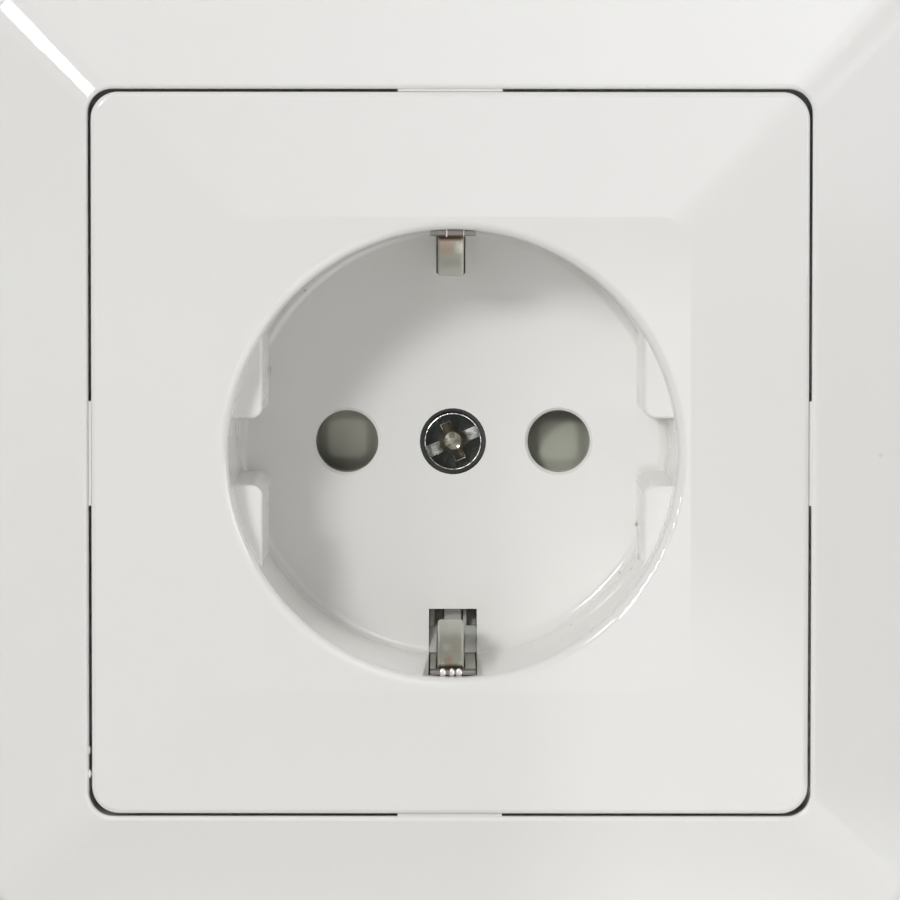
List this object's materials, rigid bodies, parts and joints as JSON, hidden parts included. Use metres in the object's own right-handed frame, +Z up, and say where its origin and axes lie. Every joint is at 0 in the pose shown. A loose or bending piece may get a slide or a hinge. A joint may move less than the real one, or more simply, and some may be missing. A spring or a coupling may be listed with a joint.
{
  "type": "wall socket",
  "caption": "Flush wall socket with a square bevelled cover frame, a round plug well with sprung earth clips, a turning shutter and spreader claws behind.",
  "frame": {"origin": "centre of the socket on the wall's surface, midway between the two box screws", "axes": "+X to the right as seen from the room, +Y into the wall, +Z up"},
  "size_m": [0.081, 0.0423, 0.0816],
  "materials": {
    "white_gloss": "glossy white moulded plastic",
    "shutter_grey": "grey moulded plastic",
    "insert_grey": "dark grey moulded plastic",
    "base_plastic": "light grey heat-proof moulding",
    "contact_brass": "stamped brass",
    "earth_strip": "nickel-plated spring strip",
    "plated_screw": "zinc-plated steel",
    "spring_steel": "spring wire",
    "ring_steel": "galvanised sheet steel",
    "claw_steel": "galvanised sheet steel"
  },
  "bodies": {
    "insert": {"cover_frame": "white_gloss", "centre_plate": "white_gloss", "centre_screw": "plated_screw", "earth_bracket": "earth_strip", "shutter_spring": "spring_steel", "contact_cover": "insert_grey", "base_housing": "base_plastic", "live_contact": "contact_brass", "neutral_contact": "contact_brass", "live_terminal_screw": "plated_screw", "neutral_terminal_screw": "plated_screw", "earth_terminal_screw": "plated_screw", "live_clamp_plate": "claw_steel", "neutral_clamp_plate": "claw_steel", "earth_clamp_plate": "claw_steel", "support_ring": "ring_steel", "ring_rivets": "ring_steel", "left_claw_screw": "plated_screw", "right_claw_screw": "plated_screw"},
    "shutter": {"shutter": "shutter_grey"},
    "left_claw": {"left_claw": "claw_steel"},
    "right_claw": {"right_claw": "claw_steel"}
  },
  "joints": [
    {"name": "shutter_turn", "type": "hinge", "parent": "insert", "child": "shutter", "pos_m": [0, 0.0108, 0], "axis": [0, 1, 0], "range_deg": [0, 38], "stiffness_Nm_per_rad": 0.002, "springref_deg": -11.46, "deforming": ["shutter_spring"]},
    {"name": "left_claw_swing", "type": "hinge", "parent": "insert", "child": "left_claw", "pos_m": [-0.0263, 0.01, 0], "axis": [0, 0, 1], "range_deg": [0, 20]},
    {"name": "right_claw_swing", "type": "hinge", "parent": "insert", "child": "right_claw", "pos_m": [0.0263, 0.01, 0], "axis": [0, 0, -1], "range_deg": [0, 20]}
  ]
}
